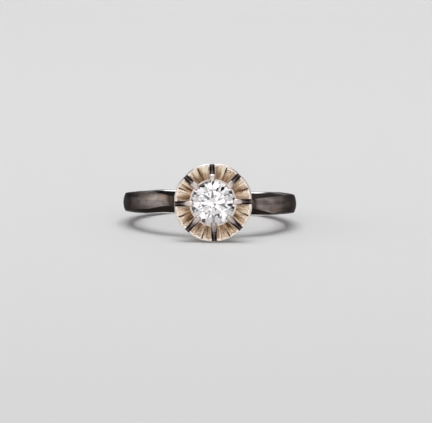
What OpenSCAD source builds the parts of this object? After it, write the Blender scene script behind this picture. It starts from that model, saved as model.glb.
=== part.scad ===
// Solitaire ring: a round brilliant in a fluted illusion setting on a tapered band.
// Lengths are in millimetres. The ring is drawn upright, with the finger along Y and the
// head towards +Z, and is then laid on its side as it rests on a table.

/* [Band] */
// Inside diameter of the finger hole
finger_hole_d = 17; // [15:0.25:20]
// Thickness of the band at the back of the finger
back_t = 1.35; // [1.2:0.05:1.6]
// Thickness of the band at the top, before the seat for the head is filed flat
top_t = 1.95; // [1.8:0.05:2.2]
// Width of the band at the back of the finger
back_w = 2.1; // [2:0.05:2.3]
// Width of the band halfway round
side_w = 2.4; // [2.2:0.05:2.6]
// Width of the band at the shoulders, its widest place
shoulder_w = 2.8; // [2.6:0.05:2.9]
// Width of the band beside the head
neck_w = 2.4; // [2.3:0.05:2.5]
// Width of the rounded face that runs round the outside
face_w = 1.85; // [1.6:0.05:1.9]
// Radius of that face, measured across the band
face_r = 1.5; // [1.5:0.1:3]
// Depth below the crown of the face at which its side bevels reach the shoulders' width
side_bevel_drop = 1.75; // [1.6:0.05:1.8]

/* [Shoulders] */
// Distance from the middle of the ring at which the shoulder facets start to narrow
narrow_from_x = 7.6; // [7:0.1:8]
// Distance from the middle of the ring at which they end, at the flat seat for the head
facet_end_x = 4.85; // [4.7:0.05:5]
// Width of the shoulder facet where it ends
facet_end_w = 1.15; // [1:0.05:1.4]
// Depth of the bevels beside that end of the facet
facet_bevel_drop = 1.3; // [1:0.1:1.5]

/* [Head] */
// Diameter of the head
head_d = 9; // [8.6:0.1:9.4]
// Height of the head's rim above the middle of the finger hole
rim_top_z = 13.1; // [12.9:0.1:13.5]
// Height of the rim's outer edge
rim_h = 0.7; // [0.6:0.05:0.8]
// Bevel on the rim's outer edge
rim_bevel = 0.1; // [0.05:0.05:0.15]
// Turn of the head against the band, as it was soldered on
head_turn = 2.4; // [-5:0.1:5]
// Number of petals in the illusion plate, which is also the number of claws
petals = 8; // [6:1:10]
// Distance from the middle of the head at which the dish runs out into the flat rim
dish_r = 4.05; // [3.95:0.05:4.1]
// Depth below the rim at which the dish would meet in the middle
dish_depth = 1.5; // [1.3:0.05:1.6]
// Share by which the middle of a petal runs further out than its edges
petal_scoop = 0.055; // [0.02:0.005:0.065]
// Width of the fine groove down the middle of each petal
groove_w = 0.16; // [0.1:0.02:0.2]
// Distance from the middle of the head at which the fine grooves start
groove_start_r = 3.2; // [3:0.1:3.4]

/* [Collet] */
// Radius of the collet where it stands in the band
collet_r = 1.9; // [1.8:0.05:2]
// Height of its straight foot above the band's flat seat
foot_h = 0.3; // [0.2:0.05:0.4]
// Depth to which the foot is let into the band
foot_depth = 0.3; // [0.2:0.05:0.4]
// Radius at which the collet flares out under the plate
flare_r = 3.15; // [3.05:0.05:3.3]
// Height of that flare
flare_h = 0.55; // [0.45:0.05:0.65]
// Distance that the plate stands out beyond the collet
plate_lip = 0.25; // [0.2:0.05:0.3]
// Radius of the hole under the stone
light_hole_r = 1.1; // [1:0.05:1.2]
// Diameter of the windows, one under each petal
window_d = 1.2; // [0.8:0.05:1.3]
// Tilt of the windows against the head's own axis
window_tilt = 105; // [100:1:110]

/* [Claws] */
// Width of the slot that each claw lies in
slot_w = 0.62; // [0.56:0.02:0.66]
// Width of the bright bevel along both edges of a slot
slot_bevel_w = 0.12; // [0.08:0.02:0.14]
// Width of a claw at its widest
claw_w = 0.52; // [0.46:0.02:0.56]
// Distance that a claw's tip reaches in over the stone
claw_reach = 0.3; // [0.2:0.05:0.35]
// Distance from the middle of the head at which a claw's back meets its slot
claw_foot_r = 3.35; // [3.3:0.05:3.45]
// Depth of the slots below the rim
slot_depth = 0.5; // [0.4:0.05:0.55]
// Height of the claws above the rim
claw_rise = 0.16; // [0.1:0.02:0.2]
// Depth below the rim of a bar's ridge, where it leaves the claw
bar_start_drop = 0.2; // [0.15:0.05:0.25]
// Depth below the rim of a bar's ridge, where it ends at the rim
bar_end_drop = 0.36; // [0.3:0.02:0.4]

/* [Stone] */
// Diameter of the stone
stone_d = 5.1; // [5:0.05:5.15]
// Height of the middle of the stone's edge above the middle of the finger hole
stone_z = 12.6; // [12.55:0.05:12.65]
// Thickness of the stone's edge
girdle_h = 0.1; // [0.08:0.02:0.14]
// Width of the table as a share of the stone's diameter
table_share = 0.57; // [0.54:0.01:0.6]
// Slope of the eight main facets above the edge
crown_slope = 34.5; // [33:0.5:36]
// Slope of the eight main facets below the edge
pavilion_slope = 40.75; // [40.5:0.25:41.5]
// Gap between the stone and the metal round it
stone_gap = 0.04; // [0.03:0.01:0.06]

/* [Hidden] */
$fn = 96;

hole_r = finger_hole_d / 2;
band_r = hole_r + (back_t + top_t) / 2;
band_shift = (top_t - back_t) / 2;
block = 30;

// How far the rounded face has dropped where the side bevels begin
face_drop = face_r - sqrt(face_r * face_r - face_w * face_w / 4);
bevel_run = (side_bevel_drop - face_drop) / (shoulder_w - face_w);

head_r = head_d / 2;
seat_z = crown_z(facet_end_x, 0);
rim_low_z = rim_top_z - rim_h;
dish_z = rim_top_z - dish_depth;
petal_angle = 360 / petals;

stone_r = stone_d / 2;
girdle_top_z = stone_z + girdle_h / 2;
girdle_low_z = stone_z - girdle_h / 2;
table_r = stone_r * table_share;
crown_h = (stone_r - table_r) * tan(crown_slope);

// The star facets end halfway between the table's edge and the stone's
star_r = (table_r * cos(22.5) + stone_r) / 2;
star_h = (stone_r - star_r * cos(22.5)) * tan(crown_slope);
star_slope = atan((crown_h - star_h) / (star_r - table_r * cos(22.5)));
upper_slope = atan(star_h / (stone_r - star_r) / cos(11.25));

// The lower facets run 77% of the way to the point
lower_r = 0.23 * stone_r;
lower_h = (stone_r - lower_r * cos(22.5)) * tan(pavilion_slope);
lower_slope = atan(lower_h / (stone_r - lower_r) / cos(11.25));
pavilion_h = stone_r * tan(pavilion_slope);

// Lying down, the ring rests on the rim's lower edge and on the corner between the
// band's side wall and its bevel at the back, which sets how far it leans
back_corner_drop = face_drop + (back_w - face_w) * bevel_run;
back_corner_z = hole_r + back_t - back_corner_drop;
lean = atan((head_r - back_w / 2) / (rim_low_z + back_corner_z));
rest_z = head_r * cos(lean) - rim_low_z * sin(lean);
front_y = -(head_r - rim_bevel) * sin(lean) - rim_top_z * cos(lean);
back_y = (hole_r + back_t - face_r) * cos(lean) + face_r;

function unit(v) = v / norm(v);

// Height of the band's crown over the middle of the hole, at a distance across the ring
function crown_z(x, drop) = band_shift + sqrt(pow(band_r - drop, 2) - x * x);

// Everything beyond the plane through three points, on the side from which they run
// anticlockwise
module beyond_plane(a, b, c) {
    u = unit(b - a);
    n = unit(cross(b - a, c - a));
    v = cross(n, u);
    multmatrix([
        [u.x, v.x, n.x, a.x],
        [u.y, v.y, n.y, a.y],
        [u.z, v.z, n.z, a.z],
        [0, 0, 0, 1]
    ])
        translate([-block, -block, 0]) cube([2 * block, 2 * block, block]);
}

// Half of the band's section: a rounded face with a steep bevel down each side
module band_section() {
    half = shoulder_w / 2;
    intersection() {
        union() {
            translate([band_r - face_r, 0]) circle(r = face_r);
            translate([0, -face_r]) square([band_r - face_r, 2 * face_r]);
        }
        polygon([
            [0, -half],
            [band_r - side_bevel_drop, -half],
            [band_r - face_drop, -face_w / 2],
            [band_r + face_drop, -face_w / 2 + face_drop / bevel_run],
            [band_r + face_drop, face_w / 2 - face_drop / bevel_run],
            [band_r - face_drop, face_w / 2],
            [band_r - side_bevel_drop, half],
            [0, half]
        ]);
    }
}

// The band seen along X, with its width at each height
module band_outline() {
    // Columns: height over the middle of the hole, width there
    rows = [
        [-block, back_w],
        [-hole_r, back_w],
        [-hole_r * 0.45, (back_w + side_w) / 2],
        [hole_r * 0.2, side_w],
        [hole_r * 0.62, shoulder_w * 0.96],
        [hole_r * 0.82, shoulder_w],
        [hole_r * 1.0, shoulder_w * 0.97],
        [hole_r * 1.12, neck_w],
        [block, neck_w]
    ];
    right = [for (row = rows) [row[1] / 2, row[0]]];
    left = [for (i = [len(rows) - 1:-1:0]) [-rows[i][1] / 2, rows[i][0]]];
    rotate([90, 0, 90]) linear_extrude(height = 2 * block, center = true)
        polygon(concat(right, left));
}

// One bevel that narrows the facet of a shoulder towards the head
module shoulder_bevel() {
    wide = [narrow_from_x, face_w / 2, crown_z(narrow_from_x, face_drop)];
    narrow = [facet_end_x, facet_end_w / 2, seat_z];
    low = narrow + [0, (neck_w - facet_end_w) / 2, -facet_bevel_drop];
    intersection() {
        beyond_plane(wide, low, narrow);
        cube(block);
    }
}

// The tapered hoop round the finger, still without its hole, with a flat seat on top
module shank() {
    color([0.54, 0.48, 0.46])
    difference() {
        intersection() {
            translate([0, 0, band_shift]) rotate([90, 0, 0]) rotate_extrude()
                band_section();
            band_outline();
        }
        translate([-block, -block, seat_z]) cube([2 * block, 2 * block, block]);
        for (x = [0, 1], y = [0, 1])
            mirror([x, 0, 0]) mirror([0, y, 0]) shoulder_bevel();
    }
}

// The cone that carries the plate, with a window under each petal
module collet() {
    flare_z = rim_low_z - flare_h;
    window_z = (seat_z + foot_h + flare_z) / 2;
    color([0.6, 0.53, 0.47])
    difference() {
        rotate_extrude() polygon([
            [0, seat_z - foot_depth],
            [collet_r, seat_z - foot_depth],
            [collet_r, seat_z + foot_h],
            [flare_r, flare_z],
            [head_r - plate_lip, rim_low_z],
            [0, rim_low_z]
        ]);
        for (i = [0:petals - 1])
            rotate([0, 0, (i + 0.5) * petal_angle]) translate([0, 0, window_z])
                rotate([0, window_tilt, 0]) cylinder(d = window_d, h = head_r);
    }
}

// The dish, whose flat sides all point at the middle of the head: each petal is a shallow
// scoop between two lands, with a ridge on either side of its middle
module flutes() {
    outer_r = head_r * 1.5;
    lid_z = rim_top_z + 4;
    // Columns: angle from a petal's middle as a share of the petal's, how far it is scooped
    half_petal = [[0, 1], [0.18, 0.25], [0.28, 0.6], [0.3, 0], [0.5, 0]];
    rows = concat(
        [for (i = [len(half_petal) - 2:-1:1]) [-half_petal[i][0], half_petal[i][1]]],
        half_petal
    );
    ring = [for (petal = [0:petals - 1], row = rows)
        let (angle = (petal + 0.5 + row[0]) * petal_angle,
             run_out_r = dish_r * (1 + petal_scoop * row[1]))
        [outer_r * cos(angle), outer_r * sin(angle), dish_z + dish_depth * outer_r / run_out_r]];
    sides = len(ring);
    lid = [for (p = ring) [p.x, p.y, lid_z]];
    polyhedron(
        points = concat([[0, 0, dish_z]], ring, lid),
        faces = concat(
            [for (i = [0:sides - 1]) [0, 1 + (i + 1) % sides, 1 + i]],
            [for (i = [0:sides - 1])
                [1 + i, 1 + (i + 1) % sides, 1 + sides + (i + 1) % sides, 1 + sides + i]],
            [[for (i = [sides - 1:-1:0]) 1 + sides + i]]
        )
    );
}

// Something cut along the slope of the dish, from one radius to another
module along_dish(from_r, to_r, run_out_r) {
    slope = atan(dish_depth / run_out_r);
    translate([0, 0, dish_z]) rotate([0, -slope, 0])
        translate([from_r / cos(slope), 0, 0]) rotate([90, 0, 90])
            linear_extrude(height = (to_r - from_r) / cos(slope))
                children();
}

// The fine groove down the middle of a petal, sunk along the valley there
module petal_groove() {
    groove_end_r = dish_r * (1 + petal_scoop) - 0.02;
    along_dish(groove_start_r, groove_end_r, groove_end_r)
        polygon([[0, -groove_w], [groove_w, groove_w], [-groove_w, groove_w]]);
}

// A slot from the stone to the rim, with a bevel along both its edges
module slot() {
    half = slot_w / 2;
    above = 1;
    translate([0, -half, rim_top_z - slot_depth]) cube([head_r * 2, slot_w, above]);
    along_dish(claw_foot_r - 0.2, head_r * 1.2, dish_r)
        polygon([
            [-half, -slot_bevel_w],
            [half, -slot_bevel_w],
            [half + slot_bevel_w + above, above],
            [-half - slot_bevel_w - above, above]
        ]);
}

// The disc of petals round the stone, cut by the slots
module illusion_plate() {
    color([0.72, 0.62, 0.53])
    difference() {
        rotate_extrude() polygon([
            [0, rim_low_z],
            [head_r, rim_low_z],
            [head_r, rim_top_z - rim_bevel],
            [head_r - rim_bevel, rim_top_z],
            [0, rim_top_z]
        ]);
        flutes();
        for (i = [0:petals - 1]) rotate([0, 0, (i + 0.5) * petal_angle]) petal_groove();
        for (i = [0:petals - 1]) rotate([0, 0, i * petal_angle]) slot();
    }
}

// The ridged bar that lies in a slot and slopes down to the rim
module claw_bar() {
    low_z = rim_top_z - slot_depth - 0.05;
    ridge_w = slot_w * 0.3;
    run = head_r - claw_foot_r;
    drop = bar_end_drop - bar_start_drop;
    flank_h = slot_depth - bar_end_drop + 0.05;
    intersection() {
        translate([claw_foot_r, 0, rim_top_z - bar_start_drop]) rotate([0, atan(drop / run), 0])
            rotate([90, 0, 90]) translate([0, 0, -run / 2]) linear_extrude(height = 2 * run)
                polygon([
                    [-ridge_w / 2, 0],
                    [-slot_w / 2, -flank_h],
                    [-slot_w / 2, -slot_depth],
                    [slot_w / 2, -slot_depth],
                    [slot_w / 2, -flank_h],
                    [ridge_w / 2, 0]
                ]);
        translate([0, 0, low_z]) cylinder(r = head_r - 0.03, h = slot_depth);
    }
}

// A claw's tip, bent over the stone's edge: its side view and its leaf shape from above
module claw_tip() {
    tip_r = stone_r - claw_reach;
    low_z = rim_top_z - slot_depth - 0.05;
    top_z = rim_top_z + claw_rise;
    intersection() {
        rotate([90, 0, 0]) linear_extrude(height = claw_w, center = true)
            polygon([
                [tip_r, stone_z],
                [tip_r, rim_top_z - 0.05],
                [tip_r + 0.15, top_z - 0.05],
                [stone_r + 0.1, top_z],
                [stone_r + 0.4, top_z - 0.12],
                [claw_foot_r, rim_top_z - bar_start_drop],
                [claw_foot_r + 0.05, low_z],
                [stone_r - 0.1, low_z]
            ]);
        translate([0, 0, low_z]) linear_extrude(height = top_z)
            polygon([
                [tip_r, -claw_w * 0.16],
                [tip_r + 0.3, -claw_w * 0.42],
                [stone_r + 0.4, -claw_w / 2],
                [claw_foot_r + 0.1, -claw_w * 0.35],
                [claw_foot_r + 0.1, claw_w * 0.35],
                [stone_r + 0.4, claw_w / 2],
                [tip_r + 0.3, claw_w * 0.42],
                [tip_r, claw_w * 0.16]
            ]);
    }
}

// A claw: its bar in the slot and its tip
module claw() {
    color([0.86, 0.79, 0.75]) {
        claw_bar();
        claw_tip();
    }
}

// The seat: the stone's turned outline grown by the gap, with the opening below it
module stone_seat() {
    edge_r = stone_r + stone_gap;
    crown_rise = star_h / (stone_r - star_r);
    pavilion_fall = lower_h / (stone_r - lower_r);
    low_z = girdle_low_z - stone_gap * sqrt(1 + pow(pavilion_fall, 2));
    high_z = girdle_top_z + stone_gap * sqrt(1 + pow(crown_rise, 2));
    rotate_extrude() polygon([
        [0, low_z - pavilion_fall * stone_r],
        [edge_r, low_z + pavilion_fall * stone_gap],
        [edge_r, high_z - crown_rise * stone_gap],
        [star_r, high_z + star_h],
        [star_r, rim_top_z + 1],
        [0, rim_top_z + 1]
    ]);
    // A bearing 0.2 mm wide stays under the stone's edge
    cone_z = seat_z + foot_h;
    cylinder(r = light_hole_r, h = cone_z + 0.01);
    translate([0, 0, cone_z])
        cylinder(r1 = light_hole_r, r2 = stone_r - 0.2, h = girdle_low_z - 0.25 - cone_z);
}

// The finger hole
module finger_hole() {
    rotate([90, 0, 0]) cylinder(r = hole_r, h = 2 * block, center = true);
}

// Lays a shape that is drawn upright on its side, with its lowest points at height zero
// and the middle of its box over the origin
module laid_down() {
    translate([0, -(front_y + back_y) / 2, rest_z]) rotate([90 - lean, 0, 0]) children();
}

// All the metal: the shank, the collet, the plate and the claws, soldered into one
module band_and_setting() {
    laid_down()
    difference() {
        union() {
            shank();
            rotate([0, 0, head_turn]) {
                collet();
                illusion_plate();
                for (i = [0:petals - 1]) rotate([0, 0, i * petal_angle]) claw();
            }
        }
        stone_seat();
        finger_hole();
    }
}

// Cuts a ring of equal facets from what follows, at a slope through points at a radius
// and height
module cut_facets(count, first, slope, radius, height) {
    difference() {
        children();
        for (i = [0:count - 1])
            rotate([0, 0, first + i * 360 / count]) translate([radius, 0, height])
                rotate([0, slope, 0])
                    translate([-stone_d, -stone_d, 0])
                        cube([2 * stone_d, 2 * stone_d, stone_d]);
    }
}

// The half of the stone over the middle of its edge: table, stars, mains and upper facets
module crown() {
    edge = girdle_h / 2;
    cut_facets(8, 22.5, star_slope, table_r * cos(22.5), edge + crown_h)
        cut_facets(16, 11.25, upper_slope, stone_r * cos(11.25), edge)
            cut_facets(8, 0, crown_slope, stone_r, edge)
                cylinder(r = stone_r, h = edge + crown_h);
}

// The half below, drawn point upwards: mains and lower facets
module pavilion() {
    edge = girdle_h / 2;
    cut_facets(16, 11.25, lower_slope, stone_r * cos(11.25), edge)
        cut_facets(8, 0, pavilion_slope, stone_r, edge)
            cylinder(r = stone_r, h = edge + pavilion_h);
}

// The stone: a round brilliant with 57 facets
module diamond() {
    color([0.93, 0.93, 0.97])
        laid_down() rotate([0, 0, head_turn]) translate([0, 0, stone_z]) {
            crown();
            mirror([0, 0, 1]) pavilion();
        }
}

band_and_setting();
diamond();
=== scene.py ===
import math
import random

import bmesh
import bpy
from mathutils import Matrix, Quaternion, Vector


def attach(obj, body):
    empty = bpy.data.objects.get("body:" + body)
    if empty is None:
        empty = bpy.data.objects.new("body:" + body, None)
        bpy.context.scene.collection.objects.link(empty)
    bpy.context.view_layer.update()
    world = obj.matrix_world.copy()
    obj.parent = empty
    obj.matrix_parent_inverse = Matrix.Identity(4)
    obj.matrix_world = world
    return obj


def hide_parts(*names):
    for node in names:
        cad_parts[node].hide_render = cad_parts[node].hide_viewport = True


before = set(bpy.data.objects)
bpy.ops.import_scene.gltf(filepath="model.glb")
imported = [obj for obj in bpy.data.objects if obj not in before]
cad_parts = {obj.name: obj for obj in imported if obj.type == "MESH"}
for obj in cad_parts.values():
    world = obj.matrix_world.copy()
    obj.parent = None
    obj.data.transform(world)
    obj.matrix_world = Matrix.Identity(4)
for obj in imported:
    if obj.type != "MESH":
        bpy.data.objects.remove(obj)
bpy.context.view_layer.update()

# SHANK
# The hoop round the finger: white gold, rolled, bent round and soldered. It has a satin face,
# steep polished bevels down its sides, and a seat filed flat on top for the head, with a hole
# drilled through it that lets light in under the stone.

# Everything is modelled standing up, in millimetres, with the finger along Y and the head
# towards +Z, and is then laid down: the ring leans on the head's rim and on the back of the
# band.
lean = math.radians(90 - 9.0937)
finger_at = (0, 1.9429, 2.4836)
laid_down = (Matrix.Scale(0.001, 4) @ Matrix.Translation(finger_at)
             @ Matrix.Rotation(lean, 4, "X"))

# The outside of the band is a circle round a middle that lies above the finger's by crown_up
finger_r = 8.5
crown_r = 10.15
crown_up = 0.3
seat_z = 9.216
light_hole_r = 0.95

# Half the width of the satin face, how round it is, and the steepness of the bevel beside
# it, by the angle from the top of the band, in degrees
face_half = ((0, 0.50), (26.9, 0.56), (28.5, 0.58), (32.8, 0.65), (37.6, 0.76), (43.6, 0.92),
             (48.5, 0.985), (54, 1.0), (75, 1.04), (110, 1.0), (180, 0.95))
face_round_r = ((0, 1.5), (50, 1.5), (75, 2.3), (180, 2.3))
bevel_steepness = ((0, 2.0), (28.5, 1.95), (54, 3.012), (180, 3.012))
# The polished strip along the outer edge of each bevel, the eased edge outside it, how far
# the bevel is rounded as a share of its depth, and how much its strip's edge is eased
strip_wide = ((0, 0.12), (34, 0.12), (46, 0.07), (58, 0.03), (180, 0.02))
strip_steepness = 5.5
edge_wide = ((0, 0.04), (45, 0.04), (60, 0.02), (180, 0.02))
edge_steepness = 8
bevel_round = ((0, 0.0), (45, 0.0), (65, 0.12), (110, 0.2), (180, 0.2))
strip_eased = ((0, 1.0), (40, 1.0), (60, 0.0), (180, 0.0))
# The rounding of a bevel is fuller, the lower this power is
round_fullness = 0.7
# The least metal left between a bevel and the finger hole, the most of the wall that a
# bevel takes, and roughly where its outer corner lies, to begin with
thinnest = 0.12
bevel_takes = 0.6
corner_near_r = crown_r - 1.5
# The shoulders were filed by eye: how far the band, and the satin face on it, stray from
# the middle, by the angle from the top, one way round and the other
band_aside = ((-180, 0), (-70, 0), (-54, 0.03), (-40, 0.11), (-31, 0.07), (0, 0), (29, -0.06),
              (36, -0.08), (46, -0.04), (54, 0), (64, 0.05), (90, 0.02), (180, 0))
face_aside = ((-180, 0), (-75, 0.05), (-54, 0.15), (-28, 0.15), (0, 0.03), (29, 0),
              (39, -0.05), (46, -0.13), (54, -0.1), (64, -0.02), (90, 0), (180, 0))
# Half the width of the band by height over the middle of the finger
band_half = ((-12, 1.05), (-8.5, 1.05), (-3.8, 1.125), (1.7, 1.2), (5.27, 1.344),
             (6.97, 1.4), (8.5, 1.358), (9.52, 1.2), (11, 1.1))


def read_off(rows, at):
    """The value of a table at a place between its rows, on a smooth curve through them."""
    if at <= rows[0][0]:
        return rows[0][1]
    for k in range(len(rows) - 1):
        (x0, y0), (x1, y1) = rows[k], rows[k + 1]
        if at <= x1:
            before = rows[k - 1] if k else rows[k]
            after = rows[k + 2] if k + 2 < len(rows) else rows[k + 1]
            step = x1 - x0
            m0 = step * (y1 - before[1]) / (x1 - before[0])
            m1 = step * (after[1] - y0) / (after[0] - x0)
            t = (at - x0) / step
            return ((2 * t**3 - 3 * t**2 + 1) * y0 + (t**3 - 2 * t**2 + t) * m0
                    + (3 * t**2 - 2 * t**3) * y1 + (t**3 - t**2) * m1)
    return rows[-1][1]


def spun_round(profile, axis, steps):
    """A closed profile spun right round an axis. Each point keeps its number on the
    profile, in the layer that is given back with the shape."""
    bm = bmesh.new()
    number = bm.verts.layers.int.new("number")
    verts = [bm.verts.new(place) for place in profile]
    for k, v in enumerate(verts):
        v[number] = k
    edges = [bm.edges.new((verts[k - 1], verts[k])) for k in range(len(verts))]
    bmesh.ops.spin(bm, geom=verts + edges, cent=(0, 0, 0), axis=axis, dvec=(0, 0, 0),
                   angle=math.tau, steps=steps, use_merge=True, use_duplicate=False)
    return bm, number


def rim_of(block):
    """The edges round a block of faces."""
    return [e for f in block for e in f.edges if sum(g in block for g in e.link_faces) == 1]


# The section, from one side of the satin face to the other and back through the finger hole
across_face = [("face", k / 6) for k in range(-6, 7)]
down_side = [("bevel", 0.35), ("bevel", 0.7), ("strip", 1), ("edge", 1), ("corner", 1),
             ("wall", 1)]
through_bore = [("bore", share) for share in (1, 0.5, 0, -0.5, -1)]
up_side = [(kind, -share) for kind, share in reversed(down_side)]
section = across_face + down_side + through_bore + up_side

# It is spun round the finger as a small circle, and then each point is moved to its place
round_steps = 240
turns = [math.tau * k / len(section) for k in range(len(section))]
band, mark = spun_round([(0, math.sin(turn), crown_r + math.cos(turn)) for turn in turns],
                        (0, 1, 0), round_steps)
for v in band.verts:
    kind, share = section[v[mark]]
    side = math.copysign(1, share)
    phi = math.atan2(v.co.x, v.co.z)
    from_top = abs(math.degrees(phi))
    aside = read_off(band_aside, math.degrees(phi))
    face_off = read_off(face_aside, math.degrees(phi))
    half = read_off(face_half, from_top)
    steep = read_off(bevel_steepness, from_top)
    edge = read_off(edge_wide, from_top)
    strip = read_off(strip_wide, from_top) + edge
    curve_r = read_off(face_round_r, from_top)
    wide = read_off(band_half, crown_up + corner_near_r * math.cos(phi))
    bore = (-crown_up * math.cos(phi)
            + math.sqrt(finger_r**2 - (crown_up * math.sin(phi)) ** 2))
    face_edge = crown_r - curve_r + math.sqrt(curve_r**2 - half**2)
    room = face_edge - bore - thinnest
    bevel_in = half + side * face_off
    # The band's width depends on how far down the corner lies, so it is worked out twice
    for _ in range(2):
        strip_top = face_edge - min((wide - strip - bevel_in) * steep, bevel_takes * room)
        strip_deep, edge_deep = (strip - edge) * strip_steepness, edge * edge_steepness
        fits = min(1, (strip_top - bore - thinnest) / (strip_deep + edge_deep))
        strip_end = strip_top - fits * strip_deep
        corner = strip_end - fits * edge_deep
        wide = read_off(band_half, crown_up + corner * math.cos(phi))
    if kind == "face":
        y = share * half + face_off
        r = crown_r - curve_r + math.sqrt(curve_r**2 - (share * half) ** 2)
    elif kind == "bevel":
        y = side * (bevel_in + (wide - strip - bevel_in) * abs(share))
        r = face_edge + (strip_top - face_edge) * abs(share)
        swell = math.sin(abs(share) * math.pi) ** round_fullness
        r += read_off(bevel_round, from_top) * swell * (face_edge - strip_top)
    elif kind == "strip":
        y, r = share * (wide - strip), strip_top
    elif kind == "edge":
        y, r = share * (wide - edge), strip_end
    elif kind == "corner":
        y, r = share * wide, corner
    else:
        r = (corner + bore) / 2 if kind == "wall" else bore
        y = share * read_off(band_half, crown_up + r * math.cos(phi))
    v.co = (r * math.sin(phi), y + aside, crown_up + r * math.cos(phi))
bmesh.ops.recalc_face_normals(band, faces=band.faces[:])

# How much each edge that runs round the finger is eased
ease = band.edges.layers.float.new("bevel_weight_edge")
for e in band.edges:
    a, b = e.verts
    kind, share = section[a[mark]]
    if a[mark] == b[mark]:
        if kind in ("face", "bore") and abs(share) == 1:
            e[ease] = 1
        elif kind == "strip":
            from_top = abs(math.degrees(math.atan2(a.co.x, a.co.z - crown_up)))
            e[ease] = read_off(strip_eased, from_top)

# The places of the shank's five finishes
on_face, on_bevel, on_side, on_bore, on_strip = range(5)
for f in band.faces:
    kinds = {section[v[mark]][0] for v in f.verts}
    if kinds == {"face"}:
        f.material_index = on_face
    elif "bevel" in kinds or kinds == {"edge", "corner"}:
        f.material_index = on_bevel
    elif kinds == {"bore"}:
        f.material_index = on_bore
    else:
        f.material_index = on_strip if kinds == {"strip", "edge"} else on_side

# The seat is filed flat
filed = bmesh.ops.bisect_plane(band, geom=band.verts[:] + band.edges[:] + band.faces[:],
                               dist=1e-5, plane_co=(0, 0, seat_z), plane_no=(0, 0, 1),
                               clear_outer=True)
seat_rim = [e for e in filed["geom_cut"] if isinstance(e, bmesh.types.BMEdge)]
for e in seat_rim:
    e[ease] = 1

# The seat and the bore are filled in round the hole that lets light in under the stone. A
# block of the bore that is wider than the hole makes room for it.
block_half = 1.3
block = []
for f in band.faces:
    centre = f.calc_center_median()
    if f.material_index == on_bore and centre.z > 0 and abs(centre.x) < block_half:
        block.append(f)
block_rim = rim_of(block)
bmesh.ops.delete(band, geom=block, context="FACES")
hole_edges = []
for rim, finish in ((seat_rim, on_bevel), (block_rim, on_bore)):
    circle = bmesh.ops.create_circle(band, cap_ends=False, segments=32, radius=light_hole_r)
    for v in circle["verts"]:
        v.co.z = seat_z if rim is seat_rim else math.sqrt(finger_r**2 - v.co.x**2)
    around = list(dict.fromkeys(e for v in circle["verts"] for e in v.link_edges))
    filled = bmesh.ops.triangle_fill(band, edges=rim + around, use_beauty=True)
    for f in filled["geom"]:
        if isinstance(f, bmesh.types.BMFace):
            f.material_index = finish
    hole_edges += around
for f in bmesh.ops.bridge_loops(band, edges=hole_edges)["faces"]:
    f.material_index = on_bore
bmesh.ops.recalc_face_normals(band, faces=band.faces[:])


class Nodes:
    """The nodes of a finish, or of the light round the ring. What makes a node gives the
    socket that carries its result."""

    def __init__(self, tree, shader):
        self.tree = tree
        self.shader = tree.nodes[shader]

    def plug(self, node, inputs):
        """Links sockets into a node, and sets what is the same all over on the node itself."""
        for key, value in inputs.items():
            if isinstance(value, bpy.types.NodeSocket):
                self.tree.links.new(value, node.inputs[key])
            else:
                node.inputs[key].default_value = value

    def add(self, kind, inputs=None, out=0, **settings):
        """Any node, by the end of its name."""
        node = self.tree.nodes.new("ShaderNode" + kind)
        for key, value in settings.items():
            setattr(node, key, value)
        self.plug(node, inputs or {})
        return node.outputs[out]

    def ramp(self, value, stops):
        """A ramp through colours, from rows of place and colour."""
        node = self.tree.nodes.new("ShaderNodeValToRGB")
        self.tree.links.new(value, node.inputs["Fac"])
        elements = node.color_ramp.elements
        for element, (at, colour) in ((elements[0], stops[0]), (elements[1], stops[-1])):
            element.position, element.color = at, (*colour, 1)
        for at, colour in stops[1:-1]:
            elements.new(at).color = (*colour, 1)
        return node.outputs["Color"]

    def over(self, share, under, upper, how="MIX"):
        """One colour laid over another, by a share."""
        return self.add("Mix", {0: share, 6: under, 7: upper}, out=2, data_type="RGBA",
                        blend_type=how)

    def times(self, tone, left):
        """A colour darkened or lightened by what is left of it."""
        return self.over(1.0, tone, left, "MULTIPLY")


def new_finish(name):
    """A new material, its nodes, and places in millimetres on the ring as it stands."""
    material = bpy.data.materials.new(name)
    material.use_nodes = True
    nodes = Nodes(material.node_tree, "Principled BSDF")
    standing = nodes.add("Mapping", {
        "Vector": nodes.add("TexCoord", out="Object"),
        "Location": [0.001 * c for c in finger_at],
        "Rotation": (lean, 0, 0), "Scale": (0.001, 0.001, 0.001),
    }, vector_type="TEXTURE")
    return material, nodes, standing


def from_axis(nodes, place):
    """How far a place lies from the axis through the head."""
    flat = nodes.add("VectorMath", {0: place, 1: (1, 1, 0)}, operation="MULTIPLY")
    return nodes.add("VectorMath", {0: flat}, out="Value", operation="LENGTH")


def drawn_out(nodes, place, round_the, along):
    """A place for a grain that is drawn out round the finger, or from the middle of the
    head to its rim. Along is how often it changes on its way, in a millimetre, where it
    changes once across. That holds 10 mm from the finger's middle, or 3.5 from the head's."""
    turns_in = (1, 0, 1) if round_the == "finger" else (1, 1, 0)
    flat = nodes.add("VectorMath", {0: place, 1: turns_in}, operation="MULTIPLY")
    out = nodes.add("VectorMath", {0: flat}, out="Value", operation="LENGTH")
    if round_the == "finger":
        side = nodes.add("SeparateXYZ", {0: place}, out="Y")
        step = {"Y": nodes.add("Math", {0: side, 1: out}, operation="ADD")}
        turn_by = 10 * along
    else:
        step = {"Z": nodes.add("Math", {0: out, 1: along}, operation="MULTIPLY")}
        turn_by = 3.5
    towards = nodes.add("VectorMath", {0: flat}, operation="NORMALIZE")
    turn = nodes.add("VectorMath", {0: towards, "Scale": turn_by}, operation="SCALE")
    return nodes.add("VectorMath", {0: turn, 1: nodes.add("CombineXYZ", step)},
                     operation="ADD")


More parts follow.
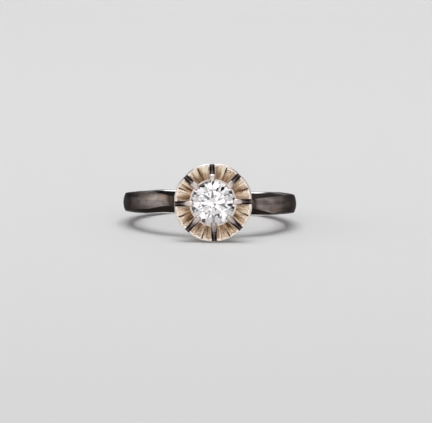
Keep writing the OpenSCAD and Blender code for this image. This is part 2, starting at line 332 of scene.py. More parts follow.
def with_painted_shade(nodes, tone, at, rows):
    """A colour, darkened by a table of painted shade: how bright it is left."""
    low, high = rows[0][0], rows[-1][0]
    share = nodes.add("MapRange", {"Value": at, "From Min": low, "From Max": high})
    stops = [((level - low) / (high - low), (bright,) * 3) for level, bright in rows]
    return nodes.times(tone, nodes.ramp(share, stops))


def gold(name, dark, light, patch, rough, grain, grain_depth, round_the=None, slide=0.0,
         tint=None, painted_shade_by_height=None, painted_shade_outwards=None, painted_shade_below=1.0, glancing=1.0):
    """White gold, worn to patches between two colours, with a grain of fine scratches.
    Patch and grain are how many fit in a millimetre, and slide moves the patches along.
    Rough is the lowest and the highest roughness. Tint is a colour that shows here and
    there. Three more arguments paint shade into the colour: how bright the gold is left by
    height over the middle of the finger, the same by distance from the middle of the head,
    and how bright it is left low on the head. Glancing is how much it shines where it turns
    away."""
    material, nodes, standing = new_finish(name)
    place = drawn_out(nodes, standing, round_the, 0.5) if round_the else standing
    place = nodes.add("VectorMath", {0: place, 1: (0, slide, 0)}, operation="ADD")
    patches = nodes.add("TexNoise", {"Vector": place, "Scale": patch, "Detail": 6.0,
                                     "Roughness": 0.62, "Distortion": 0.5})
    lie = drawn_out(nodes, standing, round_the, 0.06) if round_the else standing
    scratches = nodes.add("TexNoise", {"Vector": lie, "Scale": grain, "Detail": 5.0,
                                       "Roughness": 0.65})
    worn = nodes.add("Math", {0: scratches, 1: 0.6, 2: patches}, operation="MULTIPLY_ADD")
    spread = nodes.add("MapRange", {"Value": worn, "From Min": 0.6, "From Max": 1.0})
    tone = nodes.over(spread, (*dark, 1), (*light, 1))
    if tint:
        spots = nodes.add("TexNoise", {"Vector": place, "Scale": 1.1, "Detail": 3.0,
                                       "Distortion": 1.0})
        much = nodes.add("MapRange", {"Value": spots, "From Min": 0.5, "From Max": 0.68,
                                      "To Max": 0.75})
        tone = nodes.over(much, tone, (*tint, 1))
    if painted_shade_by_height:
        # Painted shade: it reaches less far along the edges of the band, and further on one
        # side of it away from the head. That side is also painted darker all the way.
        height = nodes.add("SeparateXYZ", {0: standing}, out="Z")
        side = nodes.add("SeparateXYZ", {0: standing}, out="Y")
        aside = nodes.add("Math", {0: side, 1: 2.0}, operation="POWER")
        even = nodes.add("Math", {0: aside, 1: 0.3, 2: height}, operation="MULTIPLY_ADD")
        sided = nodes.add("MapRange", {"Value": height, "From Min": 5.5, "From Max": 8.0,
                                       "To Min": 1.2, "To Max": 0.0})
        at = nodes.add("Math", {0: side, 1: sided, 2: even}, operation="MULTIPLY_ADD")
        tone = with_painted_shade(nodes, tone, at, painted_shade_by_height)
        left = nodes.add("Math", {0: side, 1: 0.22, 2: 0.98}, operation="MULTIPLY_ADD")
        tone = nodes.times(tone, left)
    # Painted shade, by distance from the middle of the head
    if painted_shade_outwards:
        tone = with_painted_shade(nodes, tone, from_axis(nodes, standing), painted_shade_outwards)
    # Painted shade, darker low on the head
    if painted_shade_below < 1:
        side = nodes.add("SeparateXYZ", {0: standing}, out="Y")
        left = nodes.add("MapRange", {"Value": side, "From Min": -2.9, "From Max": -1.2,
                                      "To Min": painted_shade_below})
        tone = nodes.times(tone, left)
    matt = nodes.add("MapRange", {"Value": scratches, "From Min": 0.3, "From Max": 0.7,
                                  "To Min": rough[0], "To Max": rough[1]})
    raised = nodes.add("Bump", {"Height": scratches, "Distance": grain_depth * 0.001,
                                "Strength": 1.0})
    nodes.plug(nodes.shader, {"Base Color": tone, "Roughness": matt, "Normal": raised,
                              "Metallic": 1.0,
                              "Specular Tint": (glancing, glancing, glancing, 1)})
    return material


def put_together(name, bm, finishes, node_name, smooth=35.0):
    """Lays a finished shape down, makes it a piece and lets it ride with the ring."""
    bm.transform(laid_down)
    mesh = bpy.data.meshes.new(name)
    bm.to_mesh(mesh)
    bm.free()
    for finish in finishes:
        mesh.materials.append(finish)
    mesh.shade_smooth()
    mesh.set_sharp_from_angle(angle=math.radians(smooth))
    piece = bpy.data.objects.new(name, mesh)
    bpy.context.scene.collection.objects.link(piece)
    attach(piece, "root")
    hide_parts(node_name)
    return piece


# The satin face is painted with shade: darker down the far sides of the band, and dark in a
# band right next to the head, in the head's shade
satin = gold(
    "satin_gold", dark=(0.2, 0.155, 0.14), light=(0.54, 0.475, 0.45), patch=1.4,
    rough=(0.34, 0.48), grain=5.0, grain_depth=0.006, round_the="finger", slide=1.3,
    tint=(0.36, 0.26, 0.185), glancing=0.4,
    painted_shade_by_height=((-10, 0.8), (-3, 0.6), (1.5, 0.13), (4.3, 0.24), (5.9, 0.46), (7.1, 0.88),
             (8.2, 1), (8.9, 0.95), (9.15, 0.2)))
# The bevels are painted dark with a painted dark reflection, from low on the band up to the
# head
bevel_polish = gold(
    "bevel_polish", dark=(0.27, 0.205, 0.175), light=(0.46, 0.375, 0.335), patch=1.5,
    rough=(0.16, 0.28), grain=6.0, grain_depth=0.002, round_the="finger", glancing=0.5,
    painted_shade_by_height=((-10, 1), (-2, 0.8), (3, 0.2), (5, 0.17), (9.5, 0.2)))
strip_polish = gold(
    "strip_polish", dark=(0.8, 0.76, 0.73), light=(0.98, 0.95, 0.93), patch=1.0,
    rough=(0.12, 0.22), grain=9.0, grain_depth=0.001, round_the="finger")
side_polish = gold(
    "side_polish", dark=(0.42, 0.37, 0.34), light=(0.62, 0.56, 0.52), patch=1.0,
    rough=(0.14, 0.26), grain=9.0, grain_depth=0.002, round_the="finger")
bore_polish = gold(
    "bore_polish", dark=(0.36, 0.31, 0.28), light=(0.5, 0.44, 0.4), patch=0.8,
    rough=(0.14, 0.3), grain=10.0, grain_depth=0.002, round_the="finger")

shank = put_together("shank", band,
                     (satin, bevel_polish, side_polish, bore_polish, strip_polish),
                     "band_and_setting", smooth=25)
eased = shank.modifiers.new("eased_edges", "BEVEL")
eased.width = 0.00006
eased.segments = 3
eased.limit_method = "WEIGHT"
eased.harden_normals = True

# COLLET
# The cone under the plate: turned from white gold, drilled for the stone, pierced with a
# window under each petal and soldered into the seat on the band.

# The head sits a little turned on the band
head_turn = math.radians(2.4)
petals = 8
petal_turn = math.tau / petals

# Radius, height: up the outside and down the inside, each closed at both ends
outside = ((1.9, seat_z - 0.02), (1.9, 9.516), (2.07, 9.83), (2.24, 10.15), (2.42, 10.48),
           (2.6, 10.81), (2.78, 11.15), (2.96, 11.5), (3.15, 11.85), (3.62, 12.1), (4.22, 12.4))
inside = ((2.5, 12.4), (2.35, 12.3), (2.14, 11.85), (1.98, 11.5), (1.82, 11.15),
          (1.66, 10.81), (1.5, 10.48), (1.35, 10.15), (1.2, 9.83), (1.1, 9.516),
          (1.1, seat_z - 0.02))
cone_steps = petals * 12
cone, level = spun_round([(r, 0, z) for r, z in outside + inside], (0, 0, 1), cone_steps)


def from_middle(place, middle):
    """The angle of a place from the middle of a window."""
    return (math.atan2(place.y, place.x) - middle + math.pi) % math.tau - math.pi


# Each window: a block of the grid is taken out of both walls, its edge is drawn to an oval,
# and the two openings are bridged. In each wall's table these rows bound it and cross it.
window_low, window_mid, window_high = 3, 5, 7
window_half = math.radians(11.25)
for w in range(petals):
    middle = (w + 0.5) * petal_turn
    edges_open = []
    for wall, first in ((outside, 0), (inside, len(outside))):
        block = []
        for f in cone.faces:
            levels = [v[level] - first for v in f.verts]
            off = from_middle(f.calc_center_median(), middle)
            if (min(levels) >= window_low and max(levels) <= window_high
                    and abs(off) < window_half):
                block.append(f)
        rim = rim_of(block)
        bmesh.ops.delete(cone, geom=block, context="FACES")
        around = {v for e in rim for v in e.verts}
        height = [v.co.z for v in around]
        mid_z, half_z = (min(height) + max(height)) / 2, (max(height) - min(height)) / 2
        wall_r, wall_z = wall[window_mid]
        for v in around:
            r = math.hypot(v.co.x, v.co.y)
            a, b = from_middle(v.co, middle) / window_half, (v.co.z - mid_z) / half_z
            beyond_oval = math.hypot(a, b) / max(abs(a), abs(b), 1e-6)
            a, b = a / beyond_oval, b / beyond_oval
            new_z = mid_z + b * half_z
            slope = (r - wall_r) / (v.co.z - wall_z or 1)
            r += (new_z - v.co.z) * slope
            turn = middle + a * window_half
            v.co = (r * math.cos(turn), r * math.sin(turn), new_z)
        edges_open += rim
    bmesh.ops.bridge_loops(cone, edges=edges_open)
bmesh.ops.recalc_face_normals(cone, faces=cone.faces[:])
bmesh.ops.rotate(cone, verts=cone.verts[:], cent=(0, 0, 0),
                 matrix=Matrix.Rotation(head_turn, 3, "Z"))

collet_gold = gold(
    "collet_gold", dark=(0.34, 0.285, 0.25), light=(0.52, 0.455, 0.405), patch=1.2,
    rough=(0.24, 0.38), grain=10.0, grain_depth=0.0005)
collet = put_together("collet", cone, (collet_gold,), "band_and_setting")
eased = collet.modifiers.new("eased_edges", "BEVEL")
eased.width = 0.00004
eased.segments = 2
eased.limit_method = "ANGLE"
eased.angle_limit = math.radians(40)
eased.harden_normals = True

# ILLUSION PLATE
# The dish round the stone, which makes it look larger: sawn into eight petals, each with a
# bright raised lip along its sides, a graver's cut down its middle and soft ridges between.

head_r = 4.5
rim_z = 13.1
# The underside, which is hollowed a little inside the rim
under_z = 12.4
hollow_r = 4.3
hollow_deep = 0.05
# The dish is part of a cone: its height at the middle of the head, and its rise to the rim
dish_low = 11.6
dish_rise = 1.5
# The slots between the petals, where their floors meet the rim, and the lips beside them
slot_half = 0.295
slot_floor = 12.6
slot_end_r = 4.06
lip_wide = 0.22
# The graver's cut, and how far outwards it takes to open
cut_half = 0.07
cut_start_r = 3.1
cut_opens = 0.7
# Where the soft ridges start, and how far outwards they, and the cut, take to rise or sink
ridge_start_r = 2.65
ridge_grows = 0.5
# Where the rim begins to fall to its edge, how far it falls, and how far each petal's
# corners are rounded off beside the slots
rim_fall_r = 4.28
rim_fall = 0.15
corner_off = 0.07
corner_at_r = 4.4
# The collar pressed against the stone, from inside outwards: radius and height
inner_r = 2.565
collar = ((2.515, 12.69), (2.57, 12.72), (2.64, 12.71), (2.72, 12.67))
collar_r = collar[-1][0]
seam_z = 12.655

# From a petal's middle to its side: where each share of the way meets the rim, and how far
# it stands proud
run_out_at = ((0.0, 4.27), (0.25, 4.18), (0.46, 4.08), (0.76, 4.2), (1.0, 4.12))
proud_at = ((0.0, 0.0), (0.2, -0.01), (0.46, 0.032), (0.76, -0.036), (1.0, 0.012))
steps_across = 14
steps_outwards = 14
shares = [k / steps_across for k in range(2, steps_across + 1)]
# Across half a petal, from its middle to the middle of the slot beside it: how each line is
# placed, where it meets the rim, and how far it stands proud
half_petal = (
    ("middle", 0.0, 4.27, -0.1),
    ("middle", cut_half, 4.27, 0.0),
    *[("share", share, read_off(run_out_at, share), read_off(proud_at, share))
      for share in shares],
    ("edge", 0.17, 4.12, 0.0),
    ("edge", 0.13, 4.08, 0.02),
    ("edge", 0.06, 4.05, 0.025),
    ("edge", 0.015, 4.06, 0.01),
    ("edge", 0.0, 4.06, -0.01),
    ("floor", slot_half, slot_end_r, 0.0),
    ("floor", 0.0, slot_end_r, 0.0),
)
lines = [(-1, *row) for row in half_petal[:0:-1]] + [(1, *row) for row in half_petal]
# Along a petal: the collar, the dish, the rounded rim, its outer wall, the underside and
# back up to the collar
collar_rows = [("collar", k) for k in range(len(collar))]
dish_rows = [("dish", k / steps_outwards) for k in range(1, steps_outwards + 1)]
rim_rows = [("rim", share) for share in (0.08, 0.18, 0.32, 0.5, 0.7, 0.85, 1.0)]
wall_rows = [("wall", z) for z in (12.8, slot_floor, 12.45, under_z)]
under_rows = [("under", r) for r in (4.45, 4.2, 3.4, inner_r)]
rows = (collar_rows + dish_rows + rim_rows + wall_rows + under_rows
        + [("close", 0), ("collar", 0)])


def spread_angle(kind, amount, r):
    """Angle from the petal's middle of one of its lines, at a distance from the stone."""
    if kind == "middle":
        return math.asin(amount / r * min(1, max(0.3, (r - cut_start_r) / cut_opens)))
    if kind == "share":
        return amount * (petal_turn / 2 - math.asin((slot_half + lip_wide) / r))
    if kind == "edge":
        return petal_turn / 2 - math.asin((slot_half + amount) / r)
    return petal_turn / 2 - math.asin(amount / r)


petal = bmesh.new()
bmesh.ops.create_grid(petal, x_segments=len(lines) - 1, y_segments=len(rows) - 1, size=1)
finish_layer = petal.verts.layers.int.new("finish")
sway_layer = petal.verts.layers.float.new("sway")
slot_side = petal_turn / 2 - math.asin(slot_half / head_r)
# The places of the plate's five finishes
on_petal, on_rim, on_slot, on_lip, on_cut = range(5)
for v in petal.verts:
    i = round((v.co.x + 1) / 2 * (len(lines) - 1))
    j = round((v.co.y + 1) / 2 * (len(rows) - 1))
    side, kind, amount, run_out, proud = lines[i]
    row, at = rows[j]
    in_slot = kind == "floor"
    to_corner = min(1, spread_angle(kind, amount, corner_at_r) / slot_side)
    edge_r = head_r - corner_off * to_corner**5
    if row == "collar":
        r, z = collar[at]
        if in_slot:
            r, z = max(r, inner_r), min(z, slot_floor)
    elif row == "dish":
        r = collar_r + (run_out - collar_r) * at
        z = dish_low + dish_rise * r / run_out
        start_r = cut_start_r if kind == "middle" else ridge_start_r
        proud *= min(1, max(0, (r - start_r) / ridge_grows))
        z = min(slot_floor, z - 0.02) if in_slot else z + proud
    elif row == "rim":
        r = run_out + (edge_r - run_out) * math.sin(at * math.pi / 2) ** 0.8
        fall = max(0.0, (r - rim_fall_r) / (edge_r - rim_fall_r))
        z = rim_z - rim_fall * (1 - math.sqrt(1 - min(1, fall) ** 2.6))
        # The cut runs out soon after the rim starts, and the ridges fade all along it
        z += proud * max(0, 1 - 4 * at) if kind == "middle" else proud * (1 - at) * 0.6
        z = slot_floor if in_slot else min(z, rim_z)
    elif row == "wall":
        r, z = edge_r, min(at, slot_floor) if in_slot else at
    elif row == "under":
        r, z = at, under_z if at > hollow_r else under_z - hollow_deep
    else:
        r, z = inner_r, slot_floor if in_slot else seam_z
    angle = side * spread_angle(kind, amount, r)
    v.co = (r * math.cos(angle), r * math.sin(angle), z)
    v[sway_layer] = {"middle": 1, "share": 1 - amount}.get(kind, 0)
    if in_slot and row in ("collar", "dish", "rim"):
        v[finish_layer] = on_slot
    elif row != "dish":
        v[finish_layer] = on_rim
    elif kind == "edge":
        v[finish_layer] = on_lip
    elif kind == "middle" and r > cut_start_r:
        v[finish_layer] = on_cut
for f in petal.faces:
    marks = [v[finish_layer] for v in f.verts]
    if marks.count(on_slot) >= 2:
        f.material_index = on_slot
    elif all(found in (on_rim, on_lip) for found in marks):
        f.material_index = on_lip if marks.count(on_lip) >= 2 else on_rim
    elif marks.count(on_cut) >= 2 and on_petal not in marks:
        f.material_index = on_cut

# The other petals are copies, each turned on by one place
one = petal.verts[:] + petal.edges[:] + petal.faces[:]
bmesh.ops.rotate(petal, verts=petal.verts[:], cent=(0, 0, 0),
                 matrix=Matrix.Rotation(petal_turn / 2 + head_turn, 3, "Z"))
petal_verts = [petal.verts[:]]
for k in range(1, petals):
    copy = bmesh.ops.duplicate(petal, geom=one)["geom"]
    petal_verts.append([v for v in copy if isinstance(v, bmesh.types.BMVert)])
    bmesh.ops.rotate(petal, verts=petal_verts[-1], cent=(0, 0, 0),
                     matrix=Matrix.Rotation(k * petal_turn, 3, "Z"))
# The graver's cuts aren't quite in the middle, nor quite straight
dish_long = 1.6
hand = random.Random(3)
for verts in petal_verts:
    swerve = hand.uniform(-0.055, 0.055)
    slant = hand.uniform(-0.03, 0.03)
    for v in verts:
        out = min(1, (math.hypot(v.co.x, v.co.y) - inner_r) / dish_long)
        v.co.rotate(Matrix.Rotation(v[sway_layer] * (swerve + slant * (out - 0.5)), 3, "Z"))
bmesh.ops.remove_doubles(petal, verts=petal.verts[:], dist=0.0008)
bmesh.ops.dissolve_degenerate(petal, edges=petal.edges[:], dist=0.0005)
bmesh.ops.recalc_face_normals(petal, faces=petal.faces[:])


def petal_finish():
    """Warm white gold, browner towards the stone with painted shade, and streaked from the
    stone to the rim.
    """
    material, nodes, standing = new_finish("petal_gold")
    turned = nodes.add("Mapping", {"Vector": standing, "Rotation": (0, 0, head_turn)},
                       vector_type="TEXTURE")
    out = from_axis(nodes, turned)
    streak = nodes.add("TexNoise", {"Vector": drawn_out(nodes, turned, "head", 0.14),
                                    "Scale": 1.9, "Detail": 5.0, "Roughness": 0.6})
    comb = nodes.add("TexNoise", {"Vector": drawn_out(nodes, turned, "head", 0.1),
                                  "Scale": 5.5, "Detail": 2.0})
    wear = nodes.add("TexNoise", {"Vector": turned, "Scale": 1.9, "Detail": 6.0,
                                  "Roughness": 0.7})
    # Painted shade darkens it towards the stone and lightens it outwards, and it is combed more
    # finely close to the stone
    painted_shade_by_radius = nodes.add("MapRange", {"Value": out, "From Min": 2.6, "From Max": 4.15,
                                     "To Min": -0.95, "To Max": 0.3},
                        interpolation_type="SMOOTHSTEP")
    streaked = nodes.add("Math", {0: streak, 1: 3.4, 2: painted_shade_by_radius}, operation="MULTIPLY_ADD")
    inward = nodes.add("MapRange", {"Value": out, "From Min": 2.9, "From Max": 3.5,
                                    "To Min": 0.95, "To Max": 0.12})
    combed = nodes.add("Math", {0: comb, 1: inward}, operation="MULTIPLY")
    worn = nodes.add("Math", {0: wear, 1: 0.7, 2: streaked}, operation="MULTIPLY_ADD")
    whole = nodes.add("Math", {0: worn, 1: combed}, operation="ADD")
    even = nodes.add("MapRange", {"Value": whole, "From Min": 1.3, "From Max": 2.45})
    tone = nodes.ramp(even, (
        (0.0, (0.1, 0.052, 0.027)), (0.25, (0.27, 0.155, 0.087)), (0.5, (0.45, 0.3, 0.19)),
        (0.75, (0.68, 0.505, 0.36)), (1.0, (0.95, 0.79, 0.62))))
    # Painted light: the petals are painted lighter towards the top of the head and darker
    # towards the bottom
    height = nodes.add("SeparateXYZ", {0: standing}, out="Y")
    tone = nodes.times(tone, nodes.add("Math", {0: height, 1: 0.015, 2: 1.05},
                                       operation="MULTIPLY_ADD"))
    # A fine dark brown loop is painted on one petal, near its rim
    loop = nodes.add("Mapping", {"Vector": standing, "Location": (1.7, 3.57, 0),
                                 "Rotation": (0, 0, math.radians(-10)),
                                 "Scale": (0.28, 0.14, 1)}, vector_type="TEXTURE")
    past = nodes.add("Math", {0: from_axis(nodes, loop), 1: 1.0}, operation="SUBTRACT")
    off_line = nodes.add("Math", {0: past}, operation="ABSOLUTE")
    unmarked = nodes.add("MapRange", {"Value": off_line, "From Min": 0.12, "From Max": 0.42,
                                      "To Min": 0.1})
    tone = nodes.over(unmarked, (0.2, 0.115, 0.07, 1), tone)
    grain = nodes.add("TexNoise", {"Vector": drawn_out(nodes, turned, "head", 0.12),
                                   "Scale": 11.0, "Detail": 4.0})
    matt = nodes.add("MapRange", {"Value": wear, "From Min": 0.3, "From Max": 0.7,
                                  "To Min": 0.16, "To Max": 0.32})
    relief = nodes.add("Math", {0: wear, 1: 0.6, 2: grain}, operation="MULTIPLY_ADD")
    raised = nodes.add("Bump", {"Height": relief, "Distance": 0.0000035})
    nodes.plug(nodes.shader, {"Base Color": tone, "Roughness": matt, "Normal": raised,
                              "Metallic": 1.0})
    return material


petal_gold = petal_finish()
rim_gold = gold(
    "rim_gold", dark=(0.74, 0.64, 0.56), light=(0.97, 0.9, 0.84), patch=1.4,
    rough=(0.24, 0.36), grain=7.0, grain_depth=0.0008)
# The slots are painted dark with the shade that falls in them
slot_painted_shade = gold(
    "slot_painted_shade", dark=(0.05, 0.036, 0.034), light=(0.13, 0.1, 0.095), patch=2.0,
    rough=(0.3, 0.45), grain=9.0, grain_depth=0.003)
lip_gold = gold(
    "lip_gold", dark=(0.3, 0.21, 0.15), light=(0.66, 0.54, 0.44), patch=2.2,
    rough=(0.24, 0.36), grain=7.0, grain_depth=0.0008)
# The graver's cuts are painted dark with the shade in them
cut_painted_shade = gold(
    "cut_painted_shade", dark=(0.07, 0.04, 0.025), light=(0.2, 0.125, 0.085), patch=2.6,
    rough=(0.2, 0.36), grain=9.0, grain_depth=0.002)
put_together("illusion_plate", petal, (petal_gold, rim_gold, slot_painted_shade, lip_gold, cut_painted_shade),
             "band_and_setting", smooth=32)

# CLAWS
# Eight claws of white gold wire: each lies as a ridged bar in its slot, its end bent over
# the edge of the stone and filed by hand to a leaf. No two are quite alike, and the three
# above the stone are shorter and squarer.

# The claws are painted with shade: darker towards their outer ends, where they run into the
# slots, and darker low on the head
claw_gold = gold(
    "claw_gold", dark=(0.66, 0.55, 0.51), light=(0.97, 0.89, 0.85), patch=1.9,
    rough=(0.28, 0.4), grain=8.0, grain_depth=0.0012,
    painted_shade_outwards=((2.2, 1), (2.9, 1), (3.2, 0.84), (3.46, 0.5)), painted_shade_below=0.5)
# The bars are painted dark with the shade of the slots they lie in, darkest part way along
bar_gold = gold(
    "bar_gold", dark=(0.17, 0.115, 0.105), light=(0.46, 0.35, 0.335), patch=1.8,
    rough=(0.32, 0.45), grain=9.0, grain_depth=0.003,
    painted_shade_outwards=((3, 1), (3.45, 0.75), (3.75, 0.34), (4.1, 0.3), (4.3, 0.55), (4.5, 0.7)))

# Along the leaf, from its outer end to its tip on the stone: distance from the middle of the
# head, half its width, the height of its ridge and that of its underside
leaf = (
    (3.44, 0.10, 12.90, 12.80), (3.36, 0.22, 12.98, 12.74), (3.14, 0.28, 13.06, 12.68),
    (2.92, 0.33, 13.13, 12.62), (2.72, 0.375, 13.17, 12.62), (2.56, 0.385, 13.19, 12.70),
    (2.43, 0.33, 13.17, 12.82), (2.33, 0.24, 13.12, 12.88), (2.26, 0.12, 13.06, 12.94),
)
# Each leaf is drawn out both ways from its middle. Its tip lies inwards of leaf_bend_r: it
# is filed shorter above the stone, by up to tip_off, and left longer below.
leaf_middle_r = 2.7
leaf_bend_r = 3
tip_long = leaf_bend_r - leaf[-1][0]
tip_off = 0.15
tip_on = 0.07
# How squarely each leaf ends in its slot, from the claw on the right round by the top. A
# square one is cut back there, and is a wedge that narrows evenly towards a rounded tip.
square_end = (0, 0.35, 1, 0.6, 0, 0, 0, 0)
cut_back = 0.36
wedge_r, wedge_half, wedge_widens = 2.43, 0.27, 0.13
wedge_tip_r, tip_widens = 2.18, 1.6
# Along the bar, from the rim to the leaf: distance from the middle, height of its ridge
bar = ((4.41, 12.72), (4.38, 12.74), (4.1, 12.79), (3.7, 12.84), (3.3, 12.9), (3.0, 12.93))
bar_half = slot_half - 0.01
bar_low = slot_floor - 0.03
# Half of each section: share of the width, share of the height
leaf_section = ((0.8, 0.0), (1.0, 0.5), (0.84, 0.8), (0.48, 0.95), (0.1, 1.0))
bar_section = ((1.0, 0.0), (1.0, 0.25), (0.7, 0.68), (0.26, 1.0))


def draw_wire(claw, corner_of, half_section, places, finish):
    """Draws out one section along its places. Each place is a distance from the middle of
    the head, half the width, the ridge, the underside, and how far the ridge leans over."""
    corners = [(-1, *p) for p in half_section] + [(1, *p) for p in half_section[::-1]]
    first = []
    for n in range(len(corners)):
        v = claw.verts.new((n % 3, n, 0))
        v[corner_of] = n
        first.append(v)
    face = claw.faces.new(first)
    face.material_index = finish
    for step, (r, half, top, low, over) in enumerate(places):
        if step:
            behind = face
            out = bmesh.ops.extrude_face_region(claw, geom=[face])
            face = next(g for g in out["geom"] if isinstance(g, bmesh.types.BMFace))
            if step > 1:
                bmesh.ops.delete(claw, geom=[behind], context="FACES_ONLY")
        for v in face.verts:
            side, across, high = corners[v[corner_of]]
            v.co = (r, side * across * half + over * high, low + (top - low) * high)


hand = random.Random(8)
for k in range(petals):
    wide = hand.uniform(0.93, 1.12)
    to_side = hand.uniform(-0.12, 0.12)
    longer = hand.uniform(-0.12, 0.16)
    up = math.sin(head_turn + k * petal_turn)
    shorter = tip_off * up if up > 0 else tip_on * up
    square = square_end[k]
    longer *= 1 - square
    leaf_places = []
    for r, half, top, low in leaf:
        filed_r = (r + longer * (r - leaf_middle_r) ** 2
                   + shorter * max(0, leaf_bend_r - r) / tip_long
                   - cut_back * square * max(0, r - leaf_bend_r))
        wedge = min(wedge_half + wedge_widens * (r - wedge_r), tip_widens * (r - wedge_tip_r))
        filed_half = wide * (half + square * (wedge - half))
        leaf_places.append((filed_r, filed_half, top, low, to_side * half))
    bar_places = [(r, bar_half, top, bar_low, 0) for r, top in bar]
    claw = bmesh.new()
    corner_of = claw.verts.layers.int.new("corner")
    draw_wire(claw, corner_of, leaf_section, leaf_places, 0)
    draw_wire(claw, corner_of, bar_section, bar_places, 1)
    bmesh.ops.recalc_face_normals(claw, faces=claw.faces[:])
    bmesh.ops.rotate(claw, verts=claw.verts[:], cent=(0, 0, 0),
                     matrix=Matrix.Rotation(head_turn + k * petal_turn, 3, "Z"))
    piece = put_together(f"claw_{k + 1}", claw, (claw_gold, bar_gold),
                         "band_and_setting", smooth=180)
    smooth = piece.modifiers.new("filed_smooth", "SUBSURF")
    smooth.levels = smooth.render_levels = 2

# DIAMOND
# The stone: a round brilliant of 5.1 mm with 57 facets, cut and polished on a wheel, with a
# fine ground edge. It drops into the seat in the collet and the claws hold it there.

stone_r = 2.55
stone_z = 12.6
edge_h = 0.1
# The usual proportions: the width of the table, how near to the bottom point the lower
# facets reach, and the slopes of the crown and the pavilion
table_r = stone_r * 0.57
lower_r = stone_r * 0.23
crown_slope = math.radians(34.5)
pavilion_slope = math.radians(40.75)
# How near the middle of a side comes to the axis, where eight or sixteen facets meet round
# the stone, as a share of the distance of its corners
flat_of_8 = math.cos(math.pi / 8)
flat_of_16 = math.cos(math.pi / 16)
crown_h = (stone_r - table_r) * math.tan(crown_slope)
star_r = (table_r * flat_of_8 + stone_r) / 2
star_h = (stone_r - star_r * flat_of_8) * math.tan(crown_slope)
star_slope = math.atan((crown_h - star_h) / (star_r - table_r * flat_of_8))
upper_slope = math.atan(star_h / (stone_r - star_r) / flat_of_16)
lower_h = (stone_r - lower_r * flat_of_8) * math.tan(pavilion_slope)
lower_slope = math.atan(lower_h / (stone_r - lower_r) / flat_of_16)
pavilion_h = stone_r * math.tan(pavilion_slope)

stone = bmesh.new()
bmesh.ops.create_cone(stone, cap_ends=True, segments=96, radius1=stone_r, radius2=stone_r,
                      depth=edge_h + crown_h + pavilion_h)
bmesh.ops.translate(stone, verts=stone.verts[:], vec=(0, 0, (crown_h - pavilion_h) / 2))


def cut_facets(count, first, slope, radius, side):
    """Cuts a ring of facets at a slope, through points at a radius on the stone's edge, or
    on the table's edge where the radius is less than the table's."""
    for k in range(count):
        turn = Matrix.Rotation(first + k * math.tau / count, 3, "Z")
        through = edge_h / 2 if radius > table_r else edge_h / 2 + crown_h
        cut = bmesh.ops.bisect_plane(
            stone, geom=stone.verts[:] + stone.edges[:] + stone.faces[:], dist=1e-6,
            plane_co=turn @ Vector((radius, 0, side * through)),
            plane_no=turn @ Vector((math.sin(slope), 0, side * math.cos(slope))),
            clear_outer=True)
        bmesh.ops.contextual_create(
            stone, geom=[e for e in cut["geom_cut"] if isinstance(e, bmesh.types.BMEdge)])


cut_facets(8, 0, crown_slope, stone_r, 1)
cut_facets(16, math.pi / 16, upper_slope, stone_r * flat_of_16, 1)
cut_facets(8, math.pi / 8, star_slope, table_r * flat_of_8, 1)
cut_facets(8, 0, pavilion_slope, stone_r, -1)
cut_facets(16, math.pi / 16, lower_slope, stone_r * flat_of_16, -1)
bmesh.ops.recalc_face_normals(stone, faces=stone.faces[:])
# The upright faces round the stone are its ground edge
for f in stone.faces:
    if abs(f.normal.z) < 0.05:
        f.material_index = 1
bmesh.ops.transform(stone, verts=stone.verts[:],
                    matrix=Matrix.Translation((0, 0, stone_z))
                    @ Matrix.Rotation(head_turn, 4, "Z"))


def cut_stone(name, low, high):
    """Clear stone, whose polish varies a little from place to place."""
    material, nodes, standing = new_finish(name)
    marks = nodes.add("TexNoise", {"Vector": standing, "Scale": 2.5, "Detail": 3.0})
    polish = nodes.add("MapRange", {"Value": marks, "From Min": 0.35, "From Max": 0.75,
                                    "To Min": low, "To Max": high})
    nodes.plug(nodes.shader, {"Roughness": polish, "Base Color": (1.0, 0.98, 0.99, 1),
                              "IOR": 2.417, "Transmission Weight": 1.0})
    return material


polished_facets = cut_stone("polished_facets", 0.0, 0.012)
ground_edge = cut_stone("ground_edge", 0.25, 0.4)
put_together("diamond_cut", stone, (polished_facets, ground_edge), "diamond",
             smooth=1)

# FLOOR, LIGHT AND CAMERA
# A plain pale floor, soft boxes round the ring, and the photograph's view along the head's
# own axis.

floor_mesh = bpy.data.meshes.new("floor")
ground = bmesh.new()
bmesh.ops.create_grid(ground, x_segments=1, y_segments=1, size=3)
ground.to_mesh(floor_mesh)
ground.free()
floor = bpy.data.objects.new("floor", floor_mesh)
bpy.context.scene.collection.objects.link(floor)
paper = bpy.data.materials.new("paper")
paper.use_nodes = True
sheet = Nodes(paper.node_tree, "Principled BSDF")
sheet.plug(sheet.shader, {"Base Color": (0.75, 0.75, 0.75, 1), "Roughness": 0.9})
floor_mesh.materials.append(paper)

head = laid_down @ Vector((0, 0, rim_z))


def direction(azimuth, elevation):
    """Towards a place round the ring: azimuth 0 is in front of the head."""
    a, e = math.radians(azimuth), math.radians(elevation)
    return Vector((math.sin(a) * math.cos(e), -math.cos(a) * math.cos(e), math.sin(e)))


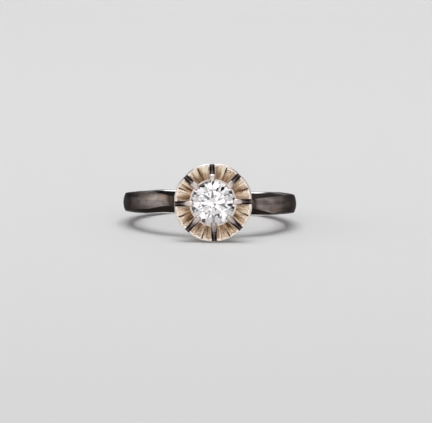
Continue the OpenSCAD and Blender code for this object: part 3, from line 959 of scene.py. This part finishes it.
# White cloths hang all round, brightest behind the camera, with dark gaps between them that
# the stone's facets pick up
studio = bpy.data.worlds.new("studio")
bpy.context.scene.world = studio
studio.use_nodes = True
sky = Nodes(studio.node_tree, "Background")
seen = sky.add("TexCoord", out="Generated")
facing = sky.add("VectorMath", {0: seen, 1: direction(0, 16)}, out="Value",
                 operation="DOT_PRODUCT")
tent = sky.ramp(facing, ((0.25, (0.09, 0.09, 0.095)), (0.62, (1.1, 1.09, 1.1)),
                         (0.92, (1.35, 1.33, 1.35))))
gaps = sky.add("TexNoise", {"Vector": seen, "W": 15.3, "Scale": 7.5, "Detail": 0.0},
               noise_dimensions="4D")
cloth = sky.ramp(gaps, ((0.45, (0.015, 0.015, 0.02)), (0.47, (1, 1, 1))))
sky.plug(sky.shader, {"Color": sky.times(tent, cloth)})


def soft_box(name, azimuth, elevation, distance, width, height, brightness):
    """A lamp behind a square of cloth, aimed at the head."""
    lamp = bpy.data.lights.new(name, "AREA")
    lamp.shape = "RECTANGLE"
    lamp.size, lamp.size_y = width, height
    lamp.energy = brightness * width * height * math.pi
    box = bpy.data.objects.new(name, lamp)
    box.location = head + direction(azimuth, elevation) * distance
    box.rotation_mode = "QUATERNION"
    box.rotation_quaternion = direction(azimuth, elevation).to_track_quat("Z", "Y")
    bpy.context.scene.collection.objects.link(box)


# Azimuth, elevation, distance, width, height and brightness of each
soft_box("overhead", 0, 95, 0.6, 0.5, 0.4, 4.0)
soft_box("left_box", -86, 20, 0.6, 0.35, 0.3, 1.3)
soft_box("right_box", 100, 27, 0.6, 0.3, 0.25, 0.6)
soft_box("back_strip", 178, 17, 0.5, 0.34, 0.09, 2.2)
soft_box("back_right", 164, 39, 0.5, 0.16, 0.12, 0.45)

# The camera stands half a metre off, almost on the head's axis, tilted and shifted a touch
camera_far = 0.5
camera_roll = math.radians(0.9)
camera_shift = Vector((0.00032, -0.00100, 0))
away = direction(-1.85, 9.09)
look = away.to_track_quat("Z", "Y") @ Quaternion((0, 0, 1), camera_roll)
camera = bpy.data.objects.new("camera", bpy.data.cameras.new("camera"))
bpy.context.scene.collection.objects.link(camera)
bpy.context.scene.camera = camera
camera.data.sensor_width = 36
camera.data.lens = 363.8
camera.data.clip_start, camera.data.clip_end = 0.01, 10
camera.rotation_mode = "QUATERNION"
camera.rotation_quaternion = look
camera.location = head + away * camera_far + look @ camera_shift
bpy.context.scene.view_settings.view_transform = "Standard"
